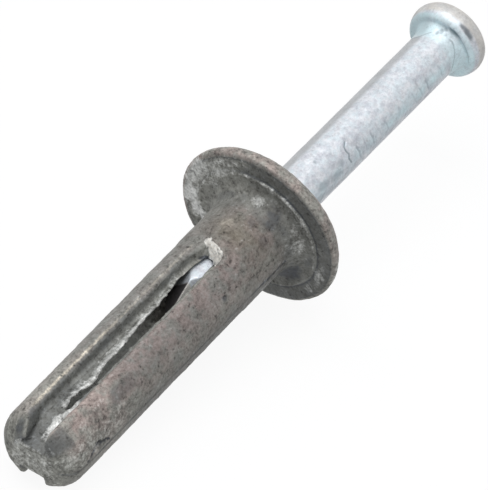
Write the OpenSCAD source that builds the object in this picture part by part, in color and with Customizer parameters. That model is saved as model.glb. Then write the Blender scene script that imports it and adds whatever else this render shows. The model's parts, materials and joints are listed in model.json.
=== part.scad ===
// Hammer drive anchor, lying on its flange rim and its nose.
// A die-cast sleeve with a mushroom flange, and the nail that is driven into it.
// Both pieces are drawn upright along Z, with the flange's underside at z = 0, the sleeve below it
// and the nail's head above it. place() then lays them down, with one groove facing straight up.

/* [Sleeve] */
// Diameter of the round collar under the flange
collar_d = 6.35; // [5.8:0.05:7]
// Length from the flange's underside to the end face
sleeve_len = 25.4; // [22:0.2:40]
// How much smaller in radius the grooved shank is than the collar, from the die's draft
draft_step = 0.03; // [0.02:0.01:0.08]
// Radius of the rounded nose
nose_r = 1.9; // [1.5:0.05:2.2]
// Diameter of the flat end face
end_d = 3.7; // [3.2:0.05:4]

/* [Flange] */
// Largest diameter of the mushroom flange
flange_d = 12.6; // [11.5:0.1:14]
// Height of the crown above the underside, taken on the axis
flange_h = 2.6; // [2.3:0.05:3]
// Radius of the shoulder between the rim and the crown
shoulder_r = 1.5; // [1.2:0.05:1.7]
// Radius of the rim's lower edge
rim_r = 0.2; // [0.1:0.02:0.3]
// Diameter of the raised seat on the underside
seat_d = 9.74; // [9.3:0.02:10.4]
// How far the seat stands out from the underside
seat_h = 0.1; // [0.05:0.01:0.2]
// Radius of the fillet between the seat and the collar
neck_r = 1.2; // [0.8:0.05:1.25]

/* [Grooves] */
// Width of the two opposed grooves
groove_w = 2.2; // [1.8:0.05:2.5]
// Distance of the groove floor from the axis
floor_h = 2; // [1.98:0.01:2.1]
// Distance of the groove floor from the axis at the end face
end_floor_h = 1.1; // [0.9:0.05:1.5]
// Length over which the floor falls towards the end face
end_fall_len = 2.6; // [2:0.1:3]
// Depth below the flange's underside at which the grooves start
groove_start = 5.05; // [4:0.05:7]
// Length of the sloped wall that ends each groove under the collar
groove_ramp = 0.7; // [0.4:0.05:1]
// Rounding of the groove's long edges
edge_r = 0.2; // [0.1:0.02:0.25]

/* [Bore and slits] */
// Radial clearance of the nail in the bore
bore_clearance = 0.06; // [0.02:0.01:0.08]
// Solid length between the end face and the bore's round wall
bore_stop = 3.1; // [2.8:0.1:4]
// Chamfer at the bore's mouth
mouth_chamfer = 0.2; // [0.1:0.05:0.4]
// Solid length between the end face and the slits
slit_stop = 3.2; // [3.1:0.1:5]
// Gap between the sloped wall of the groove and the slit
slit_gap = 0.05; // [0.05:0.05:1]

/* [Nail] */
// Diameter of the nail's shank
nail_d = 3.64; // [3.4:0.02:3.7]
// Length of the nail from under its head to its point
nail_len = 32.4; // [30:0.2:35]
// Height of the head's underside above the flange's underside
nail_out = 21.6; // [16:0.2:24]
// Length of the four-sided point, from its tip to where its edges reach the shank
point_len = 3; // [2.5:0.1:5]
// Turn of the point's edges from the groove, in degrees
point_turn = -4; // [-45:1:45]
// Largest diameter of the head
head_d = 5.92; // [5.2:0.02:6.6]
// Height of the head
head_h = 1.7; // [1.5:0.05:2]
// Height above the head's underside at which the head is widest, and radius of the edge below it
head_widest = 0.6; // [0.4:0.05:0.7]
// Radius of the head's rounded side
head_side_r = 1.05; // [0.9:0.05:1.2]
// Radius of the head's crown
head_crown_r = 12; // [8:0.5:30]
// Radius of the fillet under the head
head_fillet = 0.45; // [0.1:0.05:0.5]

/* [Hidden] */
$fn = 96;
// Overlap of a cutter past the face that it opens
past = 1;

collar_r = collar_d / 2;
shank_r = collar_r - draft_step;
end_r = end_d / 2;
flange_r = flange_d / 2;
seat_r = seat_d / 2;
nail_r = nail_d / 2;
bore_r = nail_r + bore_clearance;
head_r = head_d / 2;
// The fillet under the head stays on the head's flat underside
under_fillet_r = min(head_fillet, head_r - head_widest - nail_r);

// The nose is part of a ring whose section circle has its centre here
nose_mid_r = shank_r - nose_r;
nose_mid_z = sqrt(nose_r * nose_r - (end_r - nose_mid_r) * (end_r - nose_mid_r)) - sleeve_len;

// The crown is a sphere that the shoulder's circle touches from inside
shoulder_mid_r = flange_r - shoulder_r;
crown_rise = flange_h - rim_r;
crown_r = (shoulder_mid_r * shoulder_mid_r + crown_rise * crown_rise - shoulder_r * shoulder_r)
    / (2 * (crown_rise - shoulder_r));
shoulder_touch_r = shoulder_mid_r * crown_r / (crown_r - shoulder_r);
// Height of the crown where the bore opens through it
mouth_z = flange_h - crown_r + sqrt(crown_r * crown_r - bore_r * bore_r);

// Centre of the circle that rounds a groove's edge, across the groove and out from the axis
edge_mid_y = groove_w / 2 + edge_r;
edge_mid_x = sqrt((shank_r - edge_r) * (shank_r - edge_r) - edge_mid_y * edge_mid_y);
edge_out_x = edge_mid_x + edge_r;
// Scale from the centre of a groove edge's rounding to where it meets the shank's surface
edge_reach = shank_r / (shank_r - edge_r);

// The step from collar to shank lies where the grooves are already open
step_z = -groove_start - groove_ramp / 2;
ramp_end_z = -groove_start - groove_ramp;
bore_end_z = bore_stop - sleeve_len;
slit_top_z = ramp_end_z - slit_gap;
slit_end_z = slit_stop - sleeve_len;

// The slit's two ragged edges, as [share of the slit's length from its flange end, distance across].
// The floor web is thin there, and its torn edge wanders.
slit_edge_a = [
    [0, 0.1], [0.01, -0.3], [0.04, -0.5], [0.07, -0.58], [0.12, -0.55], [0.16, -0.44], [0.2, -0.33],
    [0.29, -0.17], [0.37, -0.14], [0.45, -0.1], [0.5, -0.03], [0.54, 0.02], [0.62, 0.13],
    [0.7, 0.12], [0.745, 0.2], [0.78, 0.42], [0.81, 0.46], [0.83, 0.42], [0.86, 0.24], [0.9, 0.12],
    [0.94, 0.13], [0.97, 0.24], [0.985, 0.36]
];
slit_edge_b = [
    [1, 0.5], [0.97, 0.58], [0.94, 0.52], [0.91, 0.62], [0.84, 0.66], [0.7, 0.66], [0.55, 0.62],
    [0.4, 0.64], [0.22, 0.66], [0.1, 0.62], [0, 0.62]
];

// The anchor leans until the flange's rim and the nose's groove edges touch the ground together
nose_bend_r = nose_r * edge_out_x / shank_r;
lean_a = rim_r - nose_mid_z;
lean_b = flange_r - rim_r - (edge_out_x - nose_bend_r);
lean_c = nose_bend_r - rim_r;
lean = atan2(lean_b, lean_a) - asin(lean_c / sqrt(lean_a * lean_a + lean_b * lean_b));
lift = (flange_r - rim_r) * cos(lean) + rim_r - rim_r * sin(lean);
// Middle of the length on the ground, between the end face's upper corner and the head's crown
low_x = -sleeve_len * cos(lean) - sqrt(end_r * end_r - groove_w * groove_w / 4) * sin(lean);
high_x = (nail_out + head_h - head_crown_r) * cos(lean) + head_crown_r;
mid_x = (low_x + high_x) / 2;

// Lays an upright piece down: Z becomes +X and leans up, and the groove along +X faces up
module place() {
    translate([-mid_x, 0, lift])
        rotate([0, -lean, 0])
            rotate([0, -90, 180])
                children();
}

// Flange section: crown, rounded shoulder and small lower edge
module flange_section() {
    // under the crown, as far out as the shoulder
    intersection() {
        translate([0, flange_h - crown_r])
            circle(crown_r);
        square([shoulder_touch_r, flange_h + past]);
    }
    // shoulder
    intersection() {
        translate([shoulder_mid_r, rim_r])
            circle(shoulder_r);
        translate([0, rim_r])
            square([flange_r + past, flange_h]);
    }
    // lower edge of the rim
    square([flange_r - rim_r, rim_r]);
    intersection() {
        translate([flange_r - rim_r, rim_r])
            circle(rim_r);
        translate([flange_r - rim_r, 0])
            square(rim_r);
    }
}

// Seat on the underside, with its fillet down to the collar
module seat_section() {
    translate([0, -seat_h])
        square([seat_r, seat_h + rim_r]);
    difference() {
        translate([0, -seat_h - neck_r])
            square([collar_r + neck_r, neck_r]);
        translate([collar_r + neck_r, -seat_h - neck_r])
            circle(neck_r);
    }
}

// Collar, shank and rounded nose
module shank_section() {
    translate([0, step_z])
        square([collar_r, -step_z]);
    translate([0, nose_mid_z])
        square([shank_r, step_z - nose_mid_z]);
    intersection() {
        translate([nose_mid_r, nose_mid_z])
            circle(nose_r);
        translate([0, -sleeve_len])
            square([shank_r + past, nose_mid_z + sleeve_len]);
    }
    translate([0, -sleeve_len])
        square([nose_mid_r, nose_mid_z + sleeve_len]);
}

// Cross-section of one groove, out along +X: straight walls that round into the shank's surface
module groove_section() {
    translate([0, -groove_w / 2])
        square([collar_r + past, groove_w]);
    for (side = [-1, 1])
        difference() {
            polygon([
                [edge_mid_x, 0],
                [edge_mid_x, side * edge_mid_y],
                [edge_mid_x * edge_reach, side * edge_mid_y * edge_reach],
                [collar_r + past, side * edge_mid_y * edge_reach],
                [collar_r + past, 0]
            ]);
            translate([edge_mid_x, side * edge_mid_y])
                circle(edge_r);
        }
}

// Side view of one groove, out along +X and down along Y: ramp, floor and fall to the end face
module groove_side() {
    ramp_slope = groove_ramp / (collar_r - floor_h);
    polygon([
        [collar_r + past, -groove_start + past * ramp_slope],
        [floor_h, ramp_end_z],
        [floor_h, end_fall_len - sleeve_len],
        [end_floor_h, -sleeve_len],
        [end_floor_h, -sleeve_len - past],
        [collar_r + past, -sleeve_len - past]
    ]);
}

module groove() {
    intersection() {
        translate([0, 0, -sleeve_len - past])
            linear_extrude(height = sleeve_len + past)
                groove_section();
        rotate([90, 0, 0])
            linear_extrude(height = 2 * collar_d, center = true)
                groove_side();
    }
}

// Ragged slit through the thin floor of one groove into the bore
module slit() {
    slit_len = slit_top_z - slit_end_z;
    outline = concat(slit_edge_a, slit_edge_b);
    rotate([0, 90, 0])
        linear_extrude(height = floor_h + past)
            polygon([for (p = outline) [-slit_top_z + p[0] * slit_len, p[1]]]);
}

// Bore with a chamfered mouth and a cone at its blind end
module bore() {
    translate([0, 0, bore_end_z])
        cylinder(r = bore_r, h = flange_h - bore_end_z + past);
    translate([0, 0, bore_end_z - bore_r])
        cylinder(r1 = 0, r2 = bore_r, h = bore_r);
    translate([0, 0, mouth_z - mouth_chamfer - bore_r])
        cylinder(r1 = 0, r2 = bore_r + mouth_chamfer + past, h = bore_r + mouth_chamfer + past);
}

module sleeve() {
    color("#8b847a")
        place()
            difference() {
                rotate_extrude() {
                    flange_section();
                    seat_section();
                    shank_section();
                }
                bore();
                for (turn = [0, 180])
                    rotate([0, 0, turn]) {
                        groove();
                        slit();
                    }
            }
}

// Head section from the underside up: rolled lower edge, rounded side, shallow crown
module head_section() {
    intersection() {
        union() {
            // rolled edge, up to where the head is widest
            translate([head_r - head_widest, head_widest])
                circle(head_widest);
            square([head_r - head_widest, head_widest]);
            // rounded side above it
            intersection() {
                translate([head_r - head_side_r, head_widest])
                    circle(head_side_r);
                translate([0, head_widest])
                    square([head_r, head_h]);
            }
            square([head_r - head_side_r, head_h]);
        }
        translate([0, head_h - head_crown_r])
            circle(head_crown_r);
        square([head_r, head_h]);
    }
}

// Fillet between the shank and the head's underside
module fillet_section() {
    difference() {
        translate([0, -under_fillet_r])
            square([nail_r + under_fillet_r, under_fillet_r]);
        translate([nail_r + under_fillet_r, -under_fillet_r])
            circle(under_fillet_r);
    }
}

// One pair of the point's four flat sides, as a wedge along Y with its edge at the origin
module point_wedge() {
    slope = nail_r * cos(45) / point_len;
    rotate([90, 0, 0])
        linear_extrude(height = 2 * nail_d, center = true)
            polygon([[0, 0], [slope * nail_len, nail_len], [-slope * nail_len, nail_len]]);
}

module drive_nail() {
    color("#c3c9cc")
        place()
            translate([0, 0, nail_out]) {
                rotate_extrude() {
                    head_section();
                    fillet_section();
                }
                intersection() {
                    translate([0, 0, -nail_len])
                        cylinder(r = nail_r, h = nail_len + head_h / 2);
                    translate([0, 0, -nail_len])
                        rotate([0, 0, point_turn + 45]) {
                            intersection() {
                                point_wedge();
                                rotate([0, 0, 90])
                                    point_wedge();
                            }
                        }
                }
            }
}

sleeve();
drive_nail();
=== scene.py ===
"""Hammer drive anchor: a die-cast sleeve with a mushroom flange, and the plated nail in it.

Every piece is modelled upright in millimetres, with the flange's underside at z = 0, the nose below it,
the nail's head above it and one groove facing +X. lay_down() then gives it its place in metres.
"""
import json
import math
from contextlib import contextmanager
from types import SimpleNamespace

import bpy
import numpy as np
from bpy.props import FloatProperty, FloatVectorProperty, PointerProperty
from mathutils import Matrix, Vector, noise


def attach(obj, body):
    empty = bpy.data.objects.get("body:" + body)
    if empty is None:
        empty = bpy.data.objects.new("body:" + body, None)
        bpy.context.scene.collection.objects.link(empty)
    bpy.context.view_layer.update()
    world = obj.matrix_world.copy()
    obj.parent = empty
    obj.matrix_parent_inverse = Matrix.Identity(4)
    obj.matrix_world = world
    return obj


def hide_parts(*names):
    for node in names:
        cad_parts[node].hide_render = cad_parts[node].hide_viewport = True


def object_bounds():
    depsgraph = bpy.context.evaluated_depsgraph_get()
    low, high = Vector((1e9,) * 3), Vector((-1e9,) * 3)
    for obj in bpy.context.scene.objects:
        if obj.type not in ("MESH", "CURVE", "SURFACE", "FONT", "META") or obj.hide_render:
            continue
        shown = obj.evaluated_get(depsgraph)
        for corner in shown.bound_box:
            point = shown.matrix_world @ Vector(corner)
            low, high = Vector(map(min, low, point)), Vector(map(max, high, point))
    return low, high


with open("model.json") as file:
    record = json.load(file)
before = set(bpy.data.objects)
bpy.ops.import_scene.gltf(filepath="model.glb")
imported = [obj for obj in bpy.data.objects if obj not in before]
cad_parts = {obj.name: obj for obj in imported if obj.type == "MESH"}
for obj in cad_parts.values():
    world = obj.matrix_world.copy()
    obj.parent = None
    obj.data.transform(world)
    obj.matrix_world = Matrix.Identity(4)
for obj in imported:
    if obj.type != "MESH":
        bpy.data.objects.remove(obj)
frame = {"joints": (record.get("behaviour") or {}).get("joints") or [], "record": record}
CAD_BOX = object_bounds()

bl_info = {
    "name": "Hammer drive anchor",
    "version": (1, 0, 0),
    "blender": (4, 5, 0),
    "location": "View3D > Sidebar > Anchor",
    "description": "Builds the cast sleeve and the nail of a hammer drive anchor",
    "category": "Object",
}

MM = 1000.0  # modelling units in a metre
TURN = 2 * math.pi
RADIAN = 57.3  # degrees

JOINT = next(j for j in frame["joints"] if j["name"] == "nail_drive")
SEAT = next(m for m in frame["record"]["mounts"] if m["name"] == "seat")
SEAT_DEPTH = 0.1 / MM  # the seat's face lies this far under z = 0
FLOOR_GAP = 0.02 / MM  # the floor lies this far under the part


# ---------------------------------------------------------------- sizes and colours


def length(name, description, millimetres):
    return FloatProperty(name=name, description=description, default=millimetres / MM,
                         unit="LENGTH", subtype="DISTANCE", precision=6)


def angle(name, description, degrees):
    return FloatProperty(name=name, description=description, default=math.radians(degrees),
                         unit="ROTATION", subtype="ANGLE")


def colour(name, description, rgb):
    return FloatVectorProperty(name=name, description=description, default=rgb, size=3,
                               min=0.0, max=1.0, subtype="COLOR")


class AnchorSleeveSizes(bpy.types.PropertyGroup):
    collar_d: length("Collar diameter", "Diameter of the round collar under the flange", 6.26)
    sleeve_len: length("Sleeve length", "From the flange's underside to the end face", 25.4)
    draft_step: length("Draft step", "How much smaller in radius the shank is than the collar", 0.03)
    nose_r: length("Nose radius", "Radius of the rounded nose", 1.9)
    nose_drop: length("Nose centre", "Height of the nose's centre circle over the end face", 1.801)
    end_d: length("End face diameter", "Diameter of the flat middle of the end face", 2.6)
    ridge_d: length("End ridge diameter", "Diameter at which the nose meets the end face", 4.5)
    flange_d: length("Flange diameter", "Largest diameter of the mushroom flange", 12.54)
    flange_h: length("Flange height", "Height of the crown above the underside", 2.38)
    shoulder_r: length("Shoulder radius", "Rounding between rim and crown", 1.27)
    rim_h: length("Rim edge height", "Height of the rounding at the rim's lower edge", 0.22)
    rim_reach: length("Rim edge reach", "How far that rounding reaches in from the rim", 0.45)
    rim_drop: length("Rim drop", "How far the flange's underside lies below the datum", 0.04)
    seat_d: length("Seat diameter", "Diameter of the raised seat on the underside", 9.6)
    seat_h: length("Seat height", "How far the seat stands out from the underside", 0.18)
    askew: angle("Flange tilt", "Tilt of the flange from square to the shank", 0.5)
    neck_r: length("Neck fillet", "Fillet between the seat and the collar", 1.2)
    groove_w: length("Groove width", "Width of the two opposed grooves", 2.2)
    floor_h: length("Floor distance", "Distance of the groove's floor from the axis", 2.0)
    end_floor_h: length("End floor distance", "The floor's distance from the axis at the end face", 1.1)
    end_fall_len: length("Fall length", "Length over which the floor falls to the end face", 2.6)
    groove_start: length("Groove start", "Depth under the flange at which the grooves start", 5.05)
    groove_ramp: length("Groove ramp", "Length of the sloped wall that ends a groove", 0.7)
    edge_r: length("Groove edge radius", "Rounding of the groove's long edges", 0.32)
    bore_r: length("Bore radius", "Radius of the bore that holds the nail", 1.88)
    bore_stop: length("Bore stop", "Solid length between the end face and the bore", 3.1)
    mouth_play: length("Mouth play", "How far the mouth stands off on the nail's leaning side", 0.16)
    play_depth: length("Play depth", "Depth at which that play in the bore runs out", 12.5)
    mouth_chamfer: length("Mouth chamfer", "Chamfer at the bore's mouth", 0.2)
    slit_stop: length("Slit stop", "Solid length between the end face and the slits", 3.2)
    slit_gap: length("Slit gap", "Gap between the groove's sloped wall and the slit", 0.05)
    grain: length("Casting grain", "Size of the cells that the casting is remeshed with", 0.07)


class AnchorNailSizes(bpy.types.PropertyGroup):
    nail_d: length("Nail diameter", "Diameter of the nail's shank", 3.6)
    nail_len: length("Nail length", "From under the head to the point", 32.05)
    nail_out: length("Standing height", "Height of the head over the flange's underside", 21.25)
    point_len: length("Point length", "Length of the four-sided point", 3.0)
    point_turn: angle("Point turn", "Turn of the point's edges from the groove", 3.0)
    straight: length("Straight height", "Height up to which the shank keeps its diameter", 6.0)
    taper: length("Shank taper", "How much thinner the shank is at the head", 0.06)
    head_d: length("Head diameter", "Largest diameter of the head", 5.76)
    head_h: length("Head height", "Height of the head", 2.05)
    head_widest: length("Widest height", "Height at which the head is widest", 0.95)
    head_side_r: length("Head side radius", "Radius of the head's rounded side", 1.05)
    head_crown_r: length("Head crown radius", "Radius of the head's crown", 12.0)
    under_r: length("Underside radius", "Radius of the flat ring under the head", 2.36)
    neck_swell: length("Neck swelling", "How much the shank swells at the head", 0.37)
    neck_swell_len: length("Swelling length", "Length over which the shank swells", 1.3)
    lean: angle("Lean", "Lean of the nail within the bore's play", 0.58)
    lean_toward: angle("Lean direction", "Where the leaning nail's head goes, from the groove", 119.0)
    lean_height: length("Lean height", "Height that keeps its place as the nail leans", -3.9)
    grain: length("Grain", "Size of the cells that the nail is remeshed with", 0.075)


class AnchorFinish(bpy.types.PropertyGroup):
    cast: colour("Casting", "Dull cast zinc, greenish grey", (0.30, 0.30, 0.272))
    cast_warm: colour("Warm casting", "Pinkish brown tarnish on the shank", (0.37, 0.305, 0.28))
    ochre: colour("Ochre tarnish", "Tarnish by the neck", (0.25, 0.215, 0.165))
    # also the colour of the painted shade under the flange and on the nose
    soot_and_shade: colour("Soot", "Dark oxide in the hollows and under the flange", (0.065, 0.072, 0.082))
    # also the colour of painted highlights and painted light on the casting
    fresh_and_painted_light: colour("Fresh metal", "Newly torn zinc", (0.78, 0.785, 0.765))
    # also the colour of the painted highlights on the groove's edges and the collar
    burnished_and_highlight: colour("Burnished edge", "Edges rubbed to a warm shine", (0.66, 0.60, 0.50))
    cream: colour("Scraped slope", "Pale scraped zinc where the groove starts", (0.97, 0.93, 0.86))
    plated: colour("Plating", "Clear zinc plating on the nail", (0.80, 0.82, 0.86))
    plated_tint: colour("Plating tint", "Bluish clouds in the plating", (0.70, 0.79, 0.84))
    plated_shade: colour("Plating shade", "Lilac grey rubs on the plating", (0.50, 0.51, 0.57))
    plated_teal: colour("Plating teal", "Bluish green passivation under the head", (0.72, 0.90, 0.95))
    # also the colour of the painted shade along the shank's top side
    plated_worn_and_shade: colour("Worn plating", "Plating rubbed grey along the shank", (0.50, 0.512, 0.525))
    plated_tan: colour("Tan plating", "Warm tone of the head's side", (0.70, 0.67, 0.62))
    # also the near black painted as shade on the point's upper faces
    dent: colour("Dents", "Dark metal laid bare in a dent and on the point", (0.09, 0.083, 0.086))
    # also the colour of the painted shade on the head's top side
    nail_dirt_and_shade: colour("Nail dirt", "Dirt and dents on the nail", (0.16, 0.22, 0.25))


class AnchorStage(bpy.types.PropertyGroup):
    azimuth: angle("Azimuth", "Where the camera stands round the part", 301.99)
    elevation: angle("Elevation", "Height of the camera over the horizon", 39.83)
    roll: angle("Roll", "Turn of the camera about its own axis", 5.29)
    aim: FloatVectorProperty(name="Aim", description="Point that the camera looks at", size=3,
                             default=(-0.000026, 0.000290, 0.005267), unit="LENGTH", subtype="XYZ")
    distance: length("Distance", "From the aim to the camera", 450.0)
    lens: FloatProperty(name="Lens", description="Focal length in millimetres", default=492.82,
                        unit="CAMERA")
    floor: colour("Floor", "The floor as the part sees it", (0.3, 0.3, 0.3))
    floor_shade: colour("Floor shade", "What the camera sees shadows on", (0.1, 0.1, 0.1))
    floor_glow: FloatProperty(name="Floor glow", description="Light of the floor that the camera sees",
                              default=0.92, min=0.0)
    sky: colour("Sky", "Soft light from all round", (0.93, 0.96, 1.0))
    sky_strength: FloatProperty(name="Sky strength", description="Strength of the soft light",
                                default=0.36, min=0.0)


# Square lamps over the part: name, place and size in metres, and power in watts
LAMPS = (("key_light", (-0.08, 0.0, 0.8), 0.7, 3.5), ("back_light", (0.0, 0.45, 0.75), 0.25, 0.6))


# ---------------------------------------------------------------- hand tools


def deselect():
    if bpy.context.mode != "OBJECT":
        bpy.ops.object.mode_set(mode="OBJECT")
    bpy.ops.object.select_all(action="DESELECT")


def only(obj):
    deselect()
    obj.select_set(True)
    bpy.context.view_layer.objects.active = obj
    return obj


@contextmanager
def editing(obj):
    """Edit mode with all of the piece selected."""
    only(obj)
    bpy.ops.object.mode_set(mode="EDIT")
    bpy.ops.mesh.select_all(action="SELECT")
    yield
    bpy.ops.object.mode_set(mode="OBJECT")


def arc(mid, radius, start, end, steps):
    """Points of an arc about mid, angles in degrees, both ends included."""
    turns = [math.radians(start + (end - start) * i / steps) for i in range(steps + 1)]
    return [(mid[0] + radius * math.cos(t), mid[1] + radius * math.sin(t)) for t in turns]


def trace(name, points, plane="xz", closed=False):
    """Draws a line through points, one extruded vertex after another, and fills it if closed."""
    place = {
        "xz": lambda p: Vector((p[0], 0, p[1])),
        "xy": lambda p: Vector((p[0], p[1], 0)),
        "yz": lambda p: Vector((0, p[0], p[1])),
    }[plane]
    points = [place(p) for p in points]
    deselect()
    bpy.ops.mesh.primitive_plane_add(size=1)
    obj = bpy.context.object
    obj.name = name
    with editing(obj):
        bpy.ops.mesh.select_mode(type="VERT")
        bpy.ops.mesh.merge(type="CENTER")
        bpy.ops.transform.translate(value=points[0])
        for a, b in zip(points, points[1:]):
            bpy.ops.mesh.extrude_region_move(TRANSFORM_OT_translate={"value": b - a})
        if closed:
            bpy.ops.mesh.select_all(action="SELECT")
            bpy.ops.mesh.edge_face_add()
    return obj


def turn(obj, steps):
    """Spins a traced section round the axis and closes it."""
    with editing(obj):
        bpy.ops.mesh.spin(steps=steps, angle=TURN, center=(0, 0, 0), axis=(0, 0, 1))
        bpy.ops.mesh.select_all(action="SELECT")
        bpy.ops.mesh.remove_doubles(threshold=0.0005)
        bpy.ops.mesh.normals_make_consistent(inside=False)
    return obj


def raise_face(obj, travel, start=(0, 0, 0)):
    """Moves a traced face to start and extrudes it into a solid."""
    with editing(obj):
        bpy.ops.transform.translate(value=start)
        bpy.ops.mesh.extrude_region_move(TRANSFORM_OT_translate={"value": travel})
        bpy.ops.mesh.select_all(action="SELECT")
        bpy.ops.mesh.normals_make_consistent(inside=False)
    return obj


def apply_modifier(obj, kind, **settings):
    only(obj)
    modifier = obj.modifiers.new(kind.lower(), kind)
    for key, value in settings.items():
        setattr(modifier, key, value)
    bpy.ops.object.modifier_apply(modifier=modifier.name)
    return obj


def combine(obj, other, operation):
    apply_modifier(obj, "BOOLEAN", object=other, operation=operation, solver="EXACT")
    bpy.data.objects.remove(other)
    return obj


def copy_of(obj):
    """A second piece with its own mesh."""
    only(obj)
    bpy.ops.object.duplicate(linked=False)
    return bpy.context.object


def half_turn(obj):
    """Turns a piece over to the other side of the axis."""
    with editing(obj):
        bpy.ops.transform.rotate(value=math.pi, orient_axis="Z", center_override=(0, 0, 0))
    return obj


def coordinates(obj):
    co = np.empty(len(obj.data.vertices) * 3)
    obj.data.vertices.foreach_get("co", co)
    return co.reshape(-1, 3)


def place_coordinates(obj, co):
    obj.data.vertices.foreach_set("co", co.ravel())
    obj.data.update()


def mask(obj, name, values):
    """Keeps a value from 0 to 1 on each vertex, for the material to read."""
    layer = obj.data.attributes.new(name, "FLOAT", "POINT")
    layer.data.foreach_set("value", np.clip(values, 0, 1).astype(np.float32))


def lay_down(obj):
    """Gives an upright piece its place: scaled to metres, laid along the nail's axis."""
    up = -Vector(JOINT["axis"]).normalized()
    side = Vector((0, -1, 0))
    out = side.cross(up)
    rest = Vector(SEAT["pos_m"])
    rest.y = 0
    rest += up * SEAT_DEPTH
    basis = Matrix((out, side, up)).transposed().to_4x4() @ Matrix.Scale(1 / MM, 4)
    only(obj)
    obj.matrix_world = Matrix.Translation(rest) @ basis
    bpy.ops.object.transform_apply(location=True, rotation=True, scale=True)
    return obj


def finish_piece(obj, body, node, material):
    """Smooths, lays down and paints a piece, and says what it stands for."""
    only(obj)
    bpy.ops.object.shade_smooth()
    lay_down(obj)
    obj.data.materials.clear()
    obj.data.materials.append(material)
    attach(obj, body)
    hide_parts(node)
    return obj


# ---------------------------------------------------------------- materials


class Graph:
    """Short words for placing shader nodes and wiring them."""

    def __init__(self, tree):
        self.nodes, self.links = tree.nodes, tree.links

    def feed(self, socket, value):
        if isinstance(value, bpy.types.NodeSocket):
            self.links.new(value, socket)
        elif value is not None:
            if socket.type == "RGBA" and len(value) == 3:
                value = (*value, 1)
            socket.default_value = value

    def node(self, kind, inputs=(), **settings):
        made = self.nodes.new("ShaderNode" + kind)
        for key, value in settings.items():
            setattr(made, key, value)
        for key, value in dict(inputs).items():
            self.feed(made.inputs[key], value)
        return made

    def math(self, operation, a, b=None):
        made = self.nodes.new("ShaderNodeMath")
        made.operation = operation
        self.feed(made.inputs[0], a)
        if b is not None:
            self.feed(made.inputs[1], b)
        return made.outputs[0]

    def mix(self, factor, a, b, blend="MIX"):
        made = self.nodes.new("ShaderNodeMix")
        made.data_type = "RGBA"
        made.blend_type = blend
        self.feed(made.inputs["Factor"], factor)
        self.feed(made.inputs[6], a)
        self.feed(made.inputs[7], b)
        return made.outputs[2]

    def span(self, value, low, high, to_low=0.0, to_high=1.0):
        made = self.node("MapRange", {"Value": value, "From Min": low, "From Max": high,
                                      "To Min": to_low, "To Max": to_high})
        return made.outputs["Result"]

    def noise(self, coords, size, detail=3.0, roughness=0.55, shift=0.0):
        """Noise whose patches are about size millimetres across."""
        moved = self.node("Mapping", {"Vector": coords, "Location": (shift, shift, shift),
                                      "Scale": (MM / size,) * 3}).outputs["Vector"]
        made = self.node("TexNoise", {"Vector": moved, "Scale": 1.0, "Detail": detail,
                                      "Roughness": roughness})
        return made.outputs["Fac"]

    def mask(self, name):
        return self.node("Attribute", attribute_name=name).outputs["Fac"]


def mottle_group():
    """Mottling that every worn zinc surface shares: broad patches, small flecks, grain and pits."""
    found = bpy.data.node_groups.get("zinc_mottle")
    if found:
        return found
    tree = bpy.data.node_groups.new("zinc_mottle", "ShaderNodeTree")
    for name, default in (("Patches", 0.25), ("Flecks", 0.25), ("Grain", 0.2), ("Pits", 0.3)):
        made = tree.interface.new_socket(name, in_out="INPUT", socket_type="NodeSocketFloat")
        made.default_value = default
    tree.interface.new_socket("Coordinates", in_out="INPUT", socket_type="NodeSocketVector")
    for name in ("Tone", "Height", "Edge"):
        tree.interface.new_socket(name, in_out="OUTPUT", socket_type="NodeSocketFloat")
    g = Graph(tree)
    given, out = tree.nodes.new("NodeGroupInput"), tree.nodes.new("NodeGroupOutput")
    coords = given.outputs["Coordinates"]
    broad = g.noise(coords, 1.5, 2.0, 0.5)
    fleck = g.noise(coords, 0.45, 2.0, 0.6, 3.7)
    grain = g.noise(coords, 0.2, 2.0, 0.75, 9.1)
    pits = g.span(g.noise(coords, 0.3, 1.0, 0.5, 14.3), 0.36, 0.27)
    tone = 1.0
    for value, name in ((broad, "Patches"), (fleck, "Flecks"), (grain, "Grain")):
        swing = g.math("MULTIPLY", g.span(value, 0.3, 0.7, -1, 1), given.outputs[name])
        tone = g.math("ADD", tone, swing)
    tone = g.math("SUBTRACT", tone, g.math("MULTIPLY", pits, given.outputs["Pits"]))
    height = g.math("ADD", g.math("MULTIPLY", fleck, 0.5), g.math("MULTIPLY", grain, 0.5))
    height = g.math("SUBTRACT", height, g.math("MULTIPLY", pits, 0.25))
    edge = g.math("ADD", g.math("MULTIPLY", broad, 0.2), g.math("MULTIPLY", fleck, 0.4))
    edge = g.math("ADD", edge, g.math("MULTIPLY", grain, 0.4))
    g.feed(out.inputs["Tone"], g.math("MAXIMUM", tone, 0.2))
    g.feed(out.inputs["Height"], height)
    g.feed(out.inputs["Edge"], g.span(edge, 0.35, 0.65, -1, 1))
    return tree


def material(name):
    made = bpy.data.materials.new(name)
    made.use_nodes = True
    g = Graph(made.node_tree)
    shader = g.nodes["Principled BSDF"]
    coords = g.node("TexCoord").outputs["Object"]
    return made, g, shader, coords


def mottle(g, coords, patches, flecks, grain, pits):
    made = g.nodes.new("ShaderNodeGroup")
    made.node_tree = mottle_group()
    for name, value in (("Coordinates", coords), ("Patches", patches), ("Flecks", flecks),
                        ("Grain", grain), ("Pits", pits)):
        g.feed(made.inputs[name], value)
    return made.outputs


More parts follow.
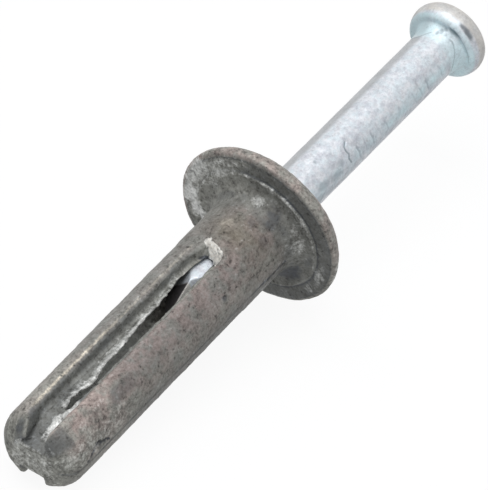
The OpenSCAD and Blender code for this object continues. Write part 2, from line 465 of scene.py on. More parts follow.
def zinc_casting(finish):
    """Dull cast zinc: brown and grey mottling, soot in the hollows, painted shade under the flange and
    on the nose, fresh metal where it is rubbed, and painted highlights and painted light.
    """
    made, g, shader, coords = material("zinc_casting")
    spots = mottle(g, coords, patches=0.2, flecks=0.34, grain=0.4, pits=0.4)
    edge = spots["Edge"]
    drift = g.noise(coords, 1.1, 3.0, 0.6, 21.0)
    warm = g.math("MULTIPLY", g.mask("warm"), g.span(drift, 0.4, 0.58, 0.2, 1.15))
    tone = g.mix(g.span(warm, 0.0, 1.0), finish.cast, finish.cast_warm)
    tone = g.mix(g.mask("ochre"), tone, finish.ochre)
    # soot, together with painted shade
    soot_and_shade = g.math("ADD", g.mask("soot_and_shade"), g.math("MULTIPLY", edge, 0.2))
    tone = g.mix(g.span(soot_and_shade, 0.15, 1.0), tone, finish.soot_and_shade)
    # fresh metal, together with painted highlights and painted light
    calm = g.span(g.mask("fresh_and_painted_light"), 0.45, 1.0, 0.3, 0.08)
    fresh_and_painted_light = g.math("ADD", g.mask("fresh_and_painted_light"), g.math("MULTIPLY", edge, calm))
    fresh_and_painted_light = g.span(fresh_and_painted_light, 0.2, 1.0)
    tone = g.mix(fresh_and_painted_light, tone, finish.fresh_and_painted_light)
    # rubbed edges, with a painted highlight along the groove's edges and on the collar
    rubbed = g.math("ADD", g.mask("rubbed"), g.math("MULTIPLY", edge, 0.06))
    tone = g.mix(g.span(rubbed, 0.1, 1.0), tone, finish.burnished_and_highlight)
    tone = g.mix(g.mask("cream"), tone, finish.cream)
    tone = g.mix(g.span(fresh_and_painted_light, 0.0, 1.0, 1.0, 0.45), tone, spots["Tone"], "MULTIPLY")
    g.feed(shader.inputs["Base Color"], tone)
    g.feed(shader.inputs["Roughness"], g.span(fresh_and_painted_light, 0.0, 1.0, 0.6, 0.4))
    shader.inputs["Metallic"].default_value = 0.35
    bump = g.node("Bump", {"Strength": 0.8, "Distance": 0.00007, "Height": spots["Height"]})
    g.feed(shader.inputs["Normal"], bump.outputs["Normal"])
    return made


def zinc_plating(finish):
    """Clear zinc plating on drawn wire: pale, softly clouded, bluish grey where it is rubbed, with
    painted shade along the top of the shank and head and on the point.
    """
    made, g, shader, coords = material("zinc_plating")
    spots = mottle(g, coords, patches=0.04, flecks=0.07, grain=0.1, pits=0.12)
    edge = spots["Edge"]
    cloud = g.noise(coords, 0.6, 4.0, 0.7, 5.0)
    cloud = g.math("ADD", cloud, g.math("MULTIPLY", g.mask("rub"), 0.3))
    cloud = g.span(cloud, 0.45, 0.76, 0.0, 0.9)
    tint = g.span(g.noise(coords, 0.5, 3.0, 0.6, 31.0), 0.42, 0.6, 0.0, 0.7)
    tone = g.mix(tint, finish.plated, finish.plated_tint)
    tone = g.mix(cloud, tone, finish.plated_shade)
    worn = g.math("ADD", g.mask("worn"), g.math("MULTIPLY", edge, 0.12))
    # worn plating, and painted shade along the shank's top side
    tone = g.mix(g.span(worn, 0.1, 1.0), tone, finish.plated_worn_and_shade)
    tone = g.mix(g.mask("tan"), tone, finish.plated_tan)
    tone = g.mix(g.mask("teal"), tone, finish.plated_teal)
    # dirt, together with painted shade on the head's top side
    soot_and_shade = g.math("ADD", g.mask("soot_and_shade"), g.math("MULTIPLY", edge, 0.12))
    tone = g.mix(g.span(soot_and_shade, 0.12, 1.0), tone, finish.nail_dirt_and_shade)
    # dents, and painted shade on the point's upper faces
    tone = g.mix(g.mask("dent"), tone, finish.dent)
    tone = g.mix(1.0, tone, spots["Tone"], "MULTIPLY")
    g.feed(shader.inputs["Base Color"], tone)
    dull = g.math("MULTIPLY", g.mask("dull"), 0.12)
    rough = g.math("ADD", g.span(cloud, 0.0, 1.0, 0.38, 0.5), dull)
    g.feed(shader.inputs["Roughness"], rough)
    shader.inputs["Metallic"].default_value = 0.35
    shader.inputs["Specular IOR Level"].default_value = 0.3
    bump = g.node("Bump", {"Strength": 0.5, "Distance": 0.00004, "Height": spots["Height"]})
    g.feed(shader.inputs["Normal"], bump.outputs["Normal"])
    return made


# ---------------------------------------------------------------- sleeve


def sizes(group):
    """The group's values in millimetres, angles as they are."""
    found = {}
    for key in group.__annotations__:
        value = getattr(group, key)
        unit = group.bl_rna.properties[key].unit
        found[key] = value * MM if unit == "LENGTH" else value
    return SimpleNamespace(**found)


def sleeve_section(s):
    """Outline of the turned form, from the crown's centre round to the end face's centre."""
    flange_r, collar_r, shank_r = s.flange_d / 2, s.collar_d / 2, s.collar_d / 2 - s.draft_step
    end_r, seat_r = s.end_d / 2, s.seat_d / 2
    shoulder_mid = flange_r - s.shoulder_r
    rim_z = s.rim_h - s.rim_drop
    rise = s.flange_h - rim_z
    crown_r = (shoulder_mid ** 2 + rise ** 2 - s.shoulder_r ** 2) / (2 * (rise - s.shoulder_r))
    touch = math.degrees(math.acos(shoulder_mid / (crown_r - s.shoulder_r)))
    nose_mid_r = shank_r - s.nose_r
    nose_mid_z = s.nose_drop - s.sleeve_len
    nose_end = math.degrees(math.acos((s.ridge_d / 2 - nose_mid_r) / s.nose_r))
    step_z = -s.groove_start - s.groove_ramp / 2
    points = arc((0, s.flange_h - crown_r), crown_r, 90, touch, 24)
    points += arc((shoulder_mid, rim_z), s.shoulder_r, touch, 0, 16)[1:]
    points += [(flange_r - s.rim_reach * (1 - x), rim_z + s.rim_h * y)
               for x, y in arc((0, 0), 1, 0, -90, 8)[1:]]
    seat_z = -s.rim_drop - s.seat_h
    points += [(seat_r, -s.rim_drop), (seat_r, seat_z)]
    points += arc((collar_r + s.neck_r, seat_z - s.neck_r), s.neck_r, 90, 180, 14)
    points += [(collar_r, step_z), (shank_r, step_z), (shank_r, nose_mid_z)]
    points += arc((nose_mid_r, nose_mid_z), s.nose_r, 0, -nose_end, 14)[1:]
    points += [(end_r, -s.sleeve_len), (0, -s.sleeve_len)]
    return points


def groove_cutter(s):
    """One groove: its rounded cross-section all along, met by its side outline."""
    shank_r, past = s.collar_d / 2 - s.draft_step, 1.0
    half = s.groove_w / 2
    edge_y = half + s.edge_r
    edge_x = math.sqrt((shank_r - s.edge_r) ** 2 - edge_y ** 2)
    touch = math.degrees(math.atan2(edge_y, edge_x))
    out = s.collar_d / 2 + past
    # the arc bends from the wall round to where it touches the shank's surface
    flare = arc((edge_x, edge_y), s.edge_r, -90, touch, 8)
    flare.append((out, flare[-1][1]))
    section = [(0, -half)] + [(x, -y) for x, y in flare] + list(reversed(flare)) + [(0, half)]
    across = raise_face(trace("groove_section", section, "xy", True),
                        (0, 0, s.sleeve_len + past), (0, 0, -s.sleeve_len - past))
    slope = s.groove_ramp / (s.collar_d / 2 - s.floor_h)
    side = [
        (out, -s.groove_start + past * slope),
        (s.floor_h, -s.groove_start - s.groove_ramp),
        (s.floor_h, s.end_fall_len - s.sleeve_len),
        (s.end_floor_h, -s.sleeve_len),
        (s.end_floor_h, -s.sleeve_len - past / 2),
        (out, -s.sleeve_len - past / 2),
    ]
    along = raise_face(trace("groove_side", side, "xz", True), (0, 8, 0), (0, -4, 0))
    return combine(across, along, "INTERSECT")


# The slit's edges, as shares of its length from the flange end and millimetres across
SLIT_EDGE_A = [
    (-0.012, 0.3), (-0.01, -0.05), (0.01, -0.3), (0.04, -0.5), (0.07, -0.58), (0.12, -0.55),
    (0.16, -0.44), (0.2, -0.33), (0.29, -0.17), (0.37, -0.14), (0.45, -0.1), (0.5, -0.03),
    (0.54, 0.02), (0.62, 0.13), (0.7, 0.12), (0.745, 0.2), (0.78, 0.42), (0.81, 0.46), (0.83, 0.42),
    (0.86, 0.24), (0.9, 0.12), (0.94, 0.13), (0.97, 0.24), (0.985, 0.36),
]
SLIT_EDGE_B = [
    (1, 0.5), (0.97, 0.58), (0.94, 0.52), (0.91, 0.62), (0.84, 0.66), (0.7, 0.66), (0.55, 0.62),
    (0.4, 0.64), (0.22, 0.66), (0.1, 0.62), (0.0, 0.62),
]


def slit_line(s, shares):
    """Points of a slit's edge, across and up, in millimetres."""
    top = -s.groove_start - s.groove_ramp - s.slit_gap
    run = top - (s.slit_stop - s.sleeve_len)
    return [(y, top - share * run) for share, y in shares]


def ragged(points, step, reach, seed):
    """The same line in short steps, each pushed aside, as a torn edge is."""
    found = []
    for start, end in zip(points, points[1:]):
        start, end = Vector(start), Vector(end)
        along = end - start
        aside = Vector((-along.y, along.x)).normalized()
        count = max(1, round(along.length / step))
        for i in range(count):
            p = start + along * i / count
            push = noise.noise(Vector((p.x * 3, p.y * 3, seed)))
            push += 0.7 * noise.noise(Vector((p.x * 8, p.y * 8, seed + 7)))
            found.append(tuple(p + aside * push * reach))
    return found


def slit_cutter(s, seed):
    outline = slit_line(s, SLIT_EDGE_A + SLIT_EDGE_B)
    outline = ragged(outline + outline[:1], 0.12, 0.09, seed)
    return raise_face(trace("slit", outline, "yz", True), (s.floor_h + 1, 0, 0))


def bore_play(s, z, phi):
    """How much wider the bore is on the side to which the nail leans."""
    toward = np.radians(phi) - bpy.context.scene.anchor_nail.lean_toward
    share = np.clip((z + s.play_depth) / (s.flange_h + s.play_depth), 0, 1)
    return s.mouth_play * share * np.maximum(np.cos(toward), 0)


def bore_cutter(s):
    end = s.bore_stop - s.sleeve_len
    mouth = s.flange_h - 0.25
    section = [(0, end - s.bore_r), (s.bore_r, end), (s.bore_r, -s.play_depth),
               (s.bore_r, mouth - s.mouth_chamfer),
               (s.bore_r + s.mouth_chamfer, mouth), (s.bore_r + s.mouth_chamfer, 4), (0, 4)]
    cutter = turn(trace("bore", section), 96)
    co = coordinates(cutter)
    r, phi = polar(co)
    co[:, :2] *= (1 + bore_play(s, co[:, 2], phi) * (r > 1) / np.maximum(r, 1))[:, None]
    place_coordinates(cutter, co)
    return cutter


def ease(low, high, x):
    """0 at low, 1 at high and smooth between."""
    t = np.clip((x - low) / (high - low), 0, 1)
    return t * t * (3 - 2 * t)


def window(low, rise, fall, high, x):
    """0 up to low, 1 from rise to fall, and 0 again from high on."""
    return ease(low, rise, x) * ease(high, fall, x)


def stroke(away, core, edge):
    """1 within core of a line and 0 beyond edge."""
    return ease(edge, core, np.abs(away))


def hump(mid, reach, x):
    """1 at mid, falling away smoothly on both sides."""
    return np.exp(-((x - mid) / reach) ** 2)


def strongest(*layers):
    return np.maximum.reduce(layers)


def ripple(co, size, seed):
    """Smooth noise from -1 to 1 at each point, with patches of about the given size."""
    return np.array([noise.noise(Vector(p) / size + Vector((seed, seed, seed))) for p in co])


def shove(obj, texture_size, depth, strength):
    """Makes the surface uneven, like the skin of a casting."""
    cloud = bpy.data.textures.new("casting_skin", "CLOUDS")
    cloud.noise_scale = texture_size
    cloud.noise_depth = depth
    apply_modifier(obj, "DISPLACE", texture=cloud, strength=strength, mid_level=0.5,
                   texture_coords="LOCAL")
    bpy.data.textures.remove(cloud)


def polar(co):
    """Radius and angle from the upper groove, in millimetres and degrees."""
    return np.hypot(co[:, 0], co[:, 1]), np.degrees(np.arctan2(co[:, 1], co[:, 0]))


def parting_angle(phi):
    """Degrees from the nearer parting line."""
    return (phi - PARTING + 90) % 180 - 90


def line_distance(u, v, points):
    """Distance of points (u, v) from a line through the given points."""
    best = np.full(u.shape, 1e9)
    for (au, av), (bu, bv) in zip(points, points[1:]):
        du, dv = bu - au, bv - av
        t = np.clip(((u - au) * du + (v - av) * dv) / (du * du + dv * dv), 0, 1)
        best = np.minimum(best, np.hypot(u - au - t * du, v - av - t * dv))
    return best


# A fold in the casting's skin by the parting line, and a crease, as height and angle from the groove
FOLD = [(-23.3, 91), (-22.75, 84), (-22.5, 80), (-22.15, 76), (-21.85, 81), (-21.5, 83), (-21.0, 87)]
CREASE = [(-25.05, 95), (-24.7, 99), (-24.5, 97), (-24.2, 99)]

PARTING = 96.0  # where the die's halves met, in degrees from the groove; the other line is opposite
FLANGE_OFF = 0.07  # how far the flange stands off the shank's axis, in millimetres
FLANGE_TOWARD = (0.49, -0.87)  # in which direction it does so, and in which it is tilted down
SKIN_R = 2.6  # beyond this radius a point lies on the shank's outer skin, in millimetres
GROOVE_HALF = 1.1  # half the groove's width, in millimetres

# Pits as height, angle from the groove, radius and depth
PITS = [(-7.58, 61, 0.2, 0.09), (-12.3, 72, 0.14, 0.05), (-17.4, 66, 0.16, 0.05),
        (-10.2, 48, 0.12, 0.04), (-20.4, 58, 0.13, 0.05), (-3.4, -40, 0.16, 0.05),
        (-15.0, -150, 0.2, 0.06), (-8.0, 140, 0.18, 0.06)]

# Stains on the shank: height, angle from the groove, half height, half width in degrees, amount
SHANK_SOOT = [(-7.6, 62, 0.35, 6, 0.8), (-22.0, 81, 0.4, 5, 0.6), (-13.4, 74, 1.5, 8, 0.35),
              (-10.0, 70, 1.2, 9, 0.3), (-16.2, 80, 2.4, 7, 0.3), (-5.0, 74, 1.1, 8, 0.35),
              (-15.4, 44, 0.7, 7, 0.25), (-11.3, 52, 0.5, 9, 0.25), (-9.0, 55, 0.5, 6, 0.3),
              (-2.1, 20, 0.6, 11, 0.6), (-2.6, 46, 0.7, 11, 0.55), (-3.6, -38, 0.8, 10, 0.3),
              (-1.3, 36, 0.6, 13, 0.75), (-1.9, -8, 0.6, 7, 0.4), (-3.3, 30, 0.4, 8, 0.4),
              (-4.6, 60, 0.6, 10, 0.3), (-3.4, 8, 0.3, 6, 0.35), (-1.7, -24, 0.4, 9, 0.4),
              (-18.0, -140, 3.0, 20, 0.4), (-8.0, 170, 3.0, 22, 0.4), (-13.0, 118, 4.0, 14, 0.3)]
SHANK_FRESH = [(-14.6, 38, 0.5, 6, 0.12), (-20.6, 40, 0.6, 7, 0.2), (-22.6, 46, 0.5, 8, 0.2),
               (-23.0, 70, 0.8, 12, 0.1), (-18.4, 28, 0.6, 5, 0.14)]
# Stains under the flange: radius, angle from the groove, half radius, half width, amount
UNDER_SOOT = [(3.3, -42, 0.35, 22, 0.5), (4.05, -54, 0.4, 14, 0.35), (3.3, 34, 0.4, 15, 0.75),
              (3.75, 30, 0.4, 11, 0.6), (3.6, 128, 0.9, 26, 1.0), (3.25, 52, 0.3, 14, 0.6),
              (4.3, 100, 0.45, 12, 0.6), (3.6, 175, 0.8, 30, 0.7), (3.6, -140, 0.7, 25, 0.6),
              (4.3, 0, 0.35, 10, 0.4), (4.0, 60, 0.2, 14, 0.4), (3.8, -85, 0.6, 24, 0.3)]
# Lighter patches under the flange, worn and partly painted light on its upper side; columns as above
UNDER_FRESH_AND_LIGHT = [(3.5, 8, 0.26, 8, 0.6), (3.5, 17, 0.16, 5, 0.22),
               (3.65, 76, 0.6, 12, 0.42), (3.8, 60, 0.4, 9, 0.32), (4.8, -36, 0.55, 18, 0.34),
               (4.35, -54, 0.45, 12, 0.34), (5.6, -62, 0.8, 28, 0.7), (5.55, -88, 0.8, 13, 0.9),
               (5.0, -100, 0.8, 12, 0.95), (5.55, -30, 0.5, 18, 0.42), (5.25, 108, 0.5, 10, 0.35),
               (4.7, 12, 0.2, 20, 0.42), (4.5, 50, 0.3, 14, 0.34), (5.4, 128, 0.4, 12, 0.25)]


# Oxide in the upper groove: heights, and the amount on the floor and on the near wall
FLOOR_SOOT = ((-25.4, -24.5, -23.6, -21.8, -20.8, -19.5, -16, -14, -12, -10, -6),
              (0.7, 0.6, 0.58, 0.55, 0.66, 0.48, 0.44, 0.4, 0.34, 0.26, 0.22))
WALL_SOOT = ((-25, -24, -22, -20, -16, -14, -12, -10, -7.5, -6),
             (0.78, 0.66, 0.58, 0.52, 0.58, 0.6, 0.46, 0.42, 0.5, 0.36))


def blots(u, phi, spots, drift):
    """Strongest of the given spots at each point, each with an uneven edge."""
    found = np.zeros(u.shape)
    for mid, turn_at, half, half_turn_by, amount in spots:
        aside = (phi - turn_at + 180) % 360 - 180
        away = np.hypot((u - mid) / half, aside / half_turn_by) + drift
        found = np.maximum(found, amount * ease(1.3, 0.35, away))
    return found


def fold_distance(co, points):
    """Distance from a fold, which wanders a little off the straight lines between its points."""
    _, phi = polar(co)
    mid = 3.0
    around = np.radians(phi) * mid + 0.2 * ripple(co, 0.17, 61.0)
    height = co[:, 2] + 0.2 * ripple(co, 0.17, 67.0)
    return line_distance(height, around, [(z, math.radians(p) * mid) for z, p in points])


def groove_drift(z):
    """How far the upper groove strays aside towards the nose."""
    return 0.0072 * np.minimum(z + 4.5, 0)


def drift_round_groove(x, y, z):
    """How far each point strays with the upper groove."""
    return groove_drift(z) * ease(0.2, 0.9, x) * ease(2.5, 1.6, np.abs(y))


def torn_edge(s, z):
    """Where the slit's torn edge lies across the groove, at each height."""
    line = sorted((height, across) for across, height in slit_line(s, SLIT_EDGE_A))
    return np.interp(z, [height for height, _ in line], [across for _, across in line])


def soften(obj, weights, repeats):
    """Smooths the surface where the weights say so."""
    group = obj.vertex_groups.new(name="soften")
    for index in np.nonzero(weights > 0.02)[0]:
        group.add([int(index)], float(weights[index]), "REPLACE")
    apply_modifier(obj, "SMOOTH", factor=0.5, iterations=repeats, vertex_group="soften")
    obj.vertex_groups.clear()


def work_groove(obj, s):
    """Bends the groove's ends as the die left them and softens the wall that ends it."""
    co = coordinates(obj)
    x, y, z = co.T
    r, phi = polar(co)
    # the bore itself stays round
    free = ease(0.02, 0.15, r - s.bore_r - bore_play(s, z, phi))
    # the near wall stands further in all along, and rounds off from the shank's surface
    depth = s.collar_d / 2 - s.draft_step - r
    inward = 0.26 * ease(0.0, 0.3, depth) + 0.22 * ease(0.35, 1.05, depth)
    y += free * inward * ease(0.8, 1.6, x) * window(-2.1, -1.6, -0.95, -0.35, y)
    # at the nose the groove narrows, its near wall coming in and its far wall hardly moving
    mouth = ease(-23.0, -25.3, z) * ease(0.5, 1.3, x)
    y += 0.3 * mouth * window(-2.4, -1.5, -0.8, 0.3, y)
    y += 0.04 * mouth * window(-0.3, 0.8, 1.5, 2.4, y)
    # the lower groove's far wall comes in a little there
    y -= 0.2 * ease(-23.6, -25.3, z) * ease(-0.6, -1.2, x) * window(0.7, 1.05, 1.4, 2.0, y)
    y += free * drift_round_groove(x, y, z)
    # under the collar the near wall turns in and the sloped wall is twisted
    top = window(-7.2, -5.5, -4.9, -4.0, z) * ease(1.7, 2.0, x)
    y += 0.42 * free * top * window(-2.1, -1.5, -0.8, 0.1, y)
    slope = window(-6.9, -6.0, -5.0, -4.2, z) * ease(1.9, 2.1, x) * (abs(y) < 1.6)
    z -= 0.3 * (y / GROOVE_HALF) * slope
    place_coordinates(obj, co)
    wall = window(-6.6, -6.2, -4.6, -4.0, z) * ease(1.8, 2.0, x) * ease(2.0, 1.4, abs(y))
    wall *= 1 - 0.9 * ease(-5.95, -6.3, z)
    x, y, z = coordinates(obj).T
    foot = window(-1.2, -0.95, -0.6, -0.4, y) * window(1.2, 1.5, 2.3, 2.5, x)
    foot *= window(-24.9, -24.4, -7.0, -6.2, z)
    soften(obj, np.maximum(wall, foot), 14)


def work_skin(obj, s):
    """Moves the casting's skin by hand: parting line, torn lip, folds and pits."""
    co = coordinates(obj)
    x, y, z = co.T
    r, phi = polar(co)
    seam = stroke(parting_angle(phi) / RADIAN * r, 0.02, 0.11) * (r > 1.95)
    seam *= ease(-25.4, -24.4, z) * ease(4.2, 3.6, r) * (0.55 + 0.45 * ripple(co * (0, 0, 1), 1.3, 4.0))
    push = (0.045 + 0.05 * ease(-4.2, -3.2, z)) * seam
    gap = torn_edge(s, z) + groove_drift(z) - y
    lip = ease(0.4, 0.1, gap) * (gap > -0.1) * (x > 1.8) * (r < SKIN_R)
    push += 0.09 * lip * window(-22.4, -21.6, -8.6, -7.4, z)
    push -= 0.12 * ease(0.12, 0.0, fold_distance(co, FOLD)) * (r > SKIN_R)
    push -= 0.06 * ease(0.08, 0.0, fold_distance(co, CREASE)) * (r > 1.9)
    for height, turn_at, size, depth in PITS:
        away = np.hypot(z - height, (phi - turn_at) / RADIAN * 3.1)
        push -= depth * ease(size, 0.0, away) * (r > SKIN_R)
    out = co / np.maximum(r, 0.1)[:, None]
    out[:, 2] = 0
    co += out * push[:, None]
    # the flange stands a little off the shank's axis and is tilted
    flange = ease(3.4, 4.4, r) * ease(-1.4, -0.4, z)
    toward_x, toward_y = FLANGE_TOWARD
    z -= math.tan(s.askew) * flange * (toward_x * x + toward_y * y)
    x += FLANGE_OFF * flange * toward_x
    y += FLANGE_OFF * flange * toward_y
    # the end face is rough
    z -= 0.05 * ripple(co, 0.45, 8.0) * ease(-25.0, -25.3, z)
    place_coordinates(obj, co)


def sleeve_places(obj, s):
    """Where each point of the casting lies, how it wanders, and what part of the casting it is."""
    co = coordinates(obj)
    x, y, z = co.T
    r, phi = polar(co)
    y = y - drift_round_groove(x, y, z)
    slow, quick = ripple(co, 0.9, 11.0), ripple(co, 0.3, 17.0)
    # depth under the turned surface, which narrows at the nose
    nose_z = s.nose_drop - s.sleeve_len
    fall = np.sqrt(np.maximum(s.nose_r ** 2 - np.minimum(z - nose_z, 0) ** 2, 0)) - s.nose_r
    depth = s.collar_d / 2 - s.draft_step + fall - r
    in_bore = (r < s.bore_r + bore_play(s, z, phi) + 0.05) & (z > s.bore_stop - s.sleeve_len - 0.05)
    hollow = ease(0.26, 0.42, depth) * (z < -s.groove_start) * (r > 1.0)
    hollow *= ease(1.4, 1.2, np.abs(y)) * ease(-25.42, -25.3, z)
    wall = ease(-0.5, -0.8, y + 0.12 * quick) * ease(0.05, 0.2, depth) * (x > 0) * (y > -1.35)
    wall *= window(-25.3, -25.0, -5.6, -4.9, z)
    return SimpleNamespace(
        co=co, at=(x, y, z, r, phi), slow=slow, quick=quick, drift=0.35 * slow + 0.3 * quick,
        in_bore=in_bore, hollow=hollow, wall=wall,
        outer=(r > SKIN_R) * (z < -1.0) * (1 - hollow) * (1 - wall),
        below=(z < 0.06) & (r > 3.3),
        under=ease(-1.8, -0.8, z) * (z < 0.06),
        wedge=start_wedge(co, x, y, z, r, quick, s))


def start_wedge(co, x, y, z, r, quick, s):
    """The scraped slope where the upper groove starts, with a few dull spots."""
    ramp_end = -s.groove_start - s.groove_ramp
    wedge = ease(-0.1, 0.1, z - ramp_end + 0.3 * y / GROOVE_HALF)
    wedge *= ease(0.0, 0.1, s.collar_d / 2 - s.draft_step + 0.03 - r)
    wedge *= ease(-0.1, 0.06, z + 5.08 + 0.69 * (y + 0.66) + 0.08 * quick)
    wedge *= window(-0.95, -0.7, 1.05, 1.25, y) * (x > 1.9)
    wedge *= ease(-4.74, -4.86, z + 0.25 * ease(-0.1, -0.8, y))
    return wedge * (1 - 0.55 * ease(0.05, 0.3, ripple(co, 0.13, 29.0)))


def sleeve_soot_and_shade(p, s):
    """Oxide in the groove, stains under the flange, oxide in the folds and along the parting lines;
    painted shade under the flange, in the seat's step, inside the rim, on a nose facet and along the
    shank's lower side.
    """
    _, _, z, r, phi = p.at
    slow, quick = p.slow, p.quick
    off_seat = r - s.seat_d / 2
    base = (np.interp(z, *FLOOR_SOOT) + 0.1 * slow) * p.hollow * (1 - p.wall)
    base += (np.interp(z, *WALL_SOOT) + 0.12 * slow + 0.1 * quick) * p.wall
    # the shank's skin darkens towards the flange, with painted shade along its lower side from 88
    # degrees on
    base += (0.1 + 0.27 * ease(-20.5, -16.5, z) + 0.12 * ease(88, 100, phi)) * p.outer
    base -= 0.18 * hump(73.0, 13.0, phi) * p.outer
    # darker under the flange by the neck, towards the lower side
    neck = ease(-2.9, -1.4, z) * (z < -0.6) * ease(-60, -20, phi)
    shaded = ease(-35, 10, phi + 12 * slow) * ease(-178, -160, phi)
    outside = ease(0, 0.08, off_seat) * ease(6.08, 5.92, r) * p.below
    # painted shade: a dark line in the seat's step, stronger on the shaded side
    seat_line = stroke(off_seat - 0.11 - 0.03 * slow, 0.04, 0.13) * p.below * (0.45 + 0.5 * shaded)
    # painted shade: a dark line just inside the rim
    rim_line = window(5.82, 5.9, 5.94, 6.02, r) * p.below
    # painted shade: a facet of the nose, darker because it faces away from the light
    shaded_facet = ease(-23.78, -23.88, z) * (z > -25.34) * ease(23, 26, phi)
    shaded_facet *= ease(60, 50, phi + 5 * slow) * (1 - p.hollow)
    flat = ease(-19.75, -19.4, z + 0.03 * (phi - 47)) * ease(-16.6, -17.6, z + 0.3 * slow)
    flat *= ease(35, 41, phi) * ease(62, 54, phi + 4 * slow)
    seam = stroke((parting_angle(phi) + 2.2) / RADIAN * r, 0.04, 0.13) * (z < -1.2) * (r > 2)
    soot_and_shade = strongest(
        base,
        # painted shade under the flange, darker towards its lower side
        (0.18 + 0.18 * ease(-25, 15, phi + 10 * slow)) * p.under,
        (0.42 + 0.25 * slow) * neck,
        blots(r, phi, UNDER_SOOT, p.drift) * p.under,
        # painted shade on the annulus under the flange, darkest on its shaded side
        outside * (0.05 + 0.5 * shaded + 0.15 * slow),
        0.95 * seat_line,
        0.8 * rim_line,
        (0.58 + 0.14 * slow) * shaded_facet,
        0.5 * flat,
        blots(z, phi, SHANK_SOOT, p.drift) * (r > SKIN_R) * (z < -0.8),
        0.95 * ease(0.17, 0.06, fold_distance(p.co, FOLD)) * (r > SKIN_R),
        0.8 * ease(0.1, 0.03, fold_distance(p.co, CREASE)) * (r > 1.9),
        (0.62 + 0.25 * slow + 0.3 * ease(-6.0, -4.0, z)) * seam)
    # painted light in the bore, less dark deeper towards the nose, and painted shade: a black band in
    # the bore where the slits start
    soot_and_shade[p.in_bore] = 0.4 - 0.35 * ease(-8, -12, z[p.in_bore])
    soot_and_shade[(np.abs(r - s.bore_r) < 0.25) & (z > -6.1) & (z < -5.6)] = 1.0
    return soot_and_shade


def sleeve_fresh_and_painted_light(p, s):
    """Bare metal: the slit's torn lip, the groove's start and chips; painted highlights on the groove's
    scoop and the seat's ring; painted light on the rim's lower side, in the bore and on the upper side
    under the flange.
    """
    x, y, z, r, phi = p.at
    slow, quick = p.slow, p.quick
    gap = torn_edge(s, z) - y
    lip = ease(0.62, 0.1, gap + 0.12 * slow + 0.12 * quick) * (gap > -0.15) * (x > 1.8) * p.hollow
    lip *= window(-22.3, -21.5, -8.2, -6.8, z)
    # painted highlight: a bright pool on the groove's scooped floor by the nose
    scoop = p.hollow * ease(-22.15, -22.4, z) * ease(-24.6, -24.3, z + 0.3 * y) * (x > 0.9)
    scoop *= ease(0.1, 0.5, y - 0.02 * (z + 23.5) + 0.06 * quick)
    chips = ease(0.44, 0.56, y) * ease(-20.7, -21.0, z) * (z > -22.5) * (x > 1.8) * (y < 1.2)
    pale = hump(72.0, 15.0, phi) * ease(-17.0, -20.0, z) * (1 - p.hollow)
    collar = p.outer * ease(-5.0, -3.5, z) * ease(80, 95, phi)
    # painted highlight along the seat's edge, weaker at the sides
    ring = stroke(r - s.seat_d / 2 + 0.05 - 0.04 * slow, 0.02, 0.16) * (z < -0.1) * (z > -0.5)
    ring *= 1 - 0.6 * ease(85, 110, phi) - 0.5 * ease(-70, -90, phi)
    ridge = stroke(r - s.ridge_d / 2, 0.04, 0.16) * ease(-24.8, -25.1, z) * ease(-40, 0, phi)
    # painted light on the rim's lower side, which faces down
    rim = ease(70, 105, phi) * (r > 6.1) * window(0.1, 0.3, 1.6, 2.2, z)
    fresh_and_painted_light = strongest(
        (0.3 + 0.32 * ease(-8.5, -12.5, z)) * lip,
        (1.0 + 0.3 * quick) * ease(0.0, 0.6, p.wedge),
        (0.5 + 0.32 * hump(-23.4, 0.5, z) + 0.06 * slow) * scoop,
        chips * (0.7 + 0.3 * quick),
        0.22 * pale + 0.12 * collar,
        ring * (0.4 + 0.35 * slow + 0.3 * quick),
        # lighter patches under the flange, partly painted light on its upper side
        blots(r, phi, UNDER_FRESH_AND_LIGHT, p.drift) * p.under,
        blots(z, phi, SHANK_FRESH, p.drift) * (r > SKIN_R) * (z < -0.8),
        0.2 * ridge * (0.8 + 0.4 * slow),
        0.3 * rim,
        0.38 * ease(-25.2, -25.35, z) * (0.8 + 0.5 * quick))
    # painted light in the bore, bright towards the nose
    fresh_and_painted_light[p.in_bore] = ease(-8.0, -13.2, z[p.in_bore])
    return fresh_and_painted_light


def sleeve_rubbed_and_highlight(p):
    """The groove's long edges, rubbed and given a painted highlight, and a painted highlight on the
    collar.
    """
    x, y, z, r, phi = p.at
    slow, quick = p.slow, p.quick
    at_edge = ease(2.75, 2.9, r) * (x > 2)
    # painted highlight along the near edge, on rubbed metal
    near = stroke(y + 1.17 + 0.03 * slow, 0.02, 0.12) * at_edge * window(-23.9, -22.9, -6.2, -5.2, z)
    far = stroke(y - 1.16, 0.02, 0.1) * at_edge * window(-24.2, -23.0, -7.0, -5.8, z)
    # painted highlight on the collar
    gleam = np.hypot((z + 3.2) / 0.6, (phi + 4) / 9.0)
    return strongest(
        (0.36 + 0.52 * ease(-11.0, -18.0, z) + 0.2 * slow) * near,
        (0.6 + 0.3 * slow) * far,
        0.32 * ease(1.3, 0.2, gleam + 0.3 * quick),
        0.24 * p.wedge)


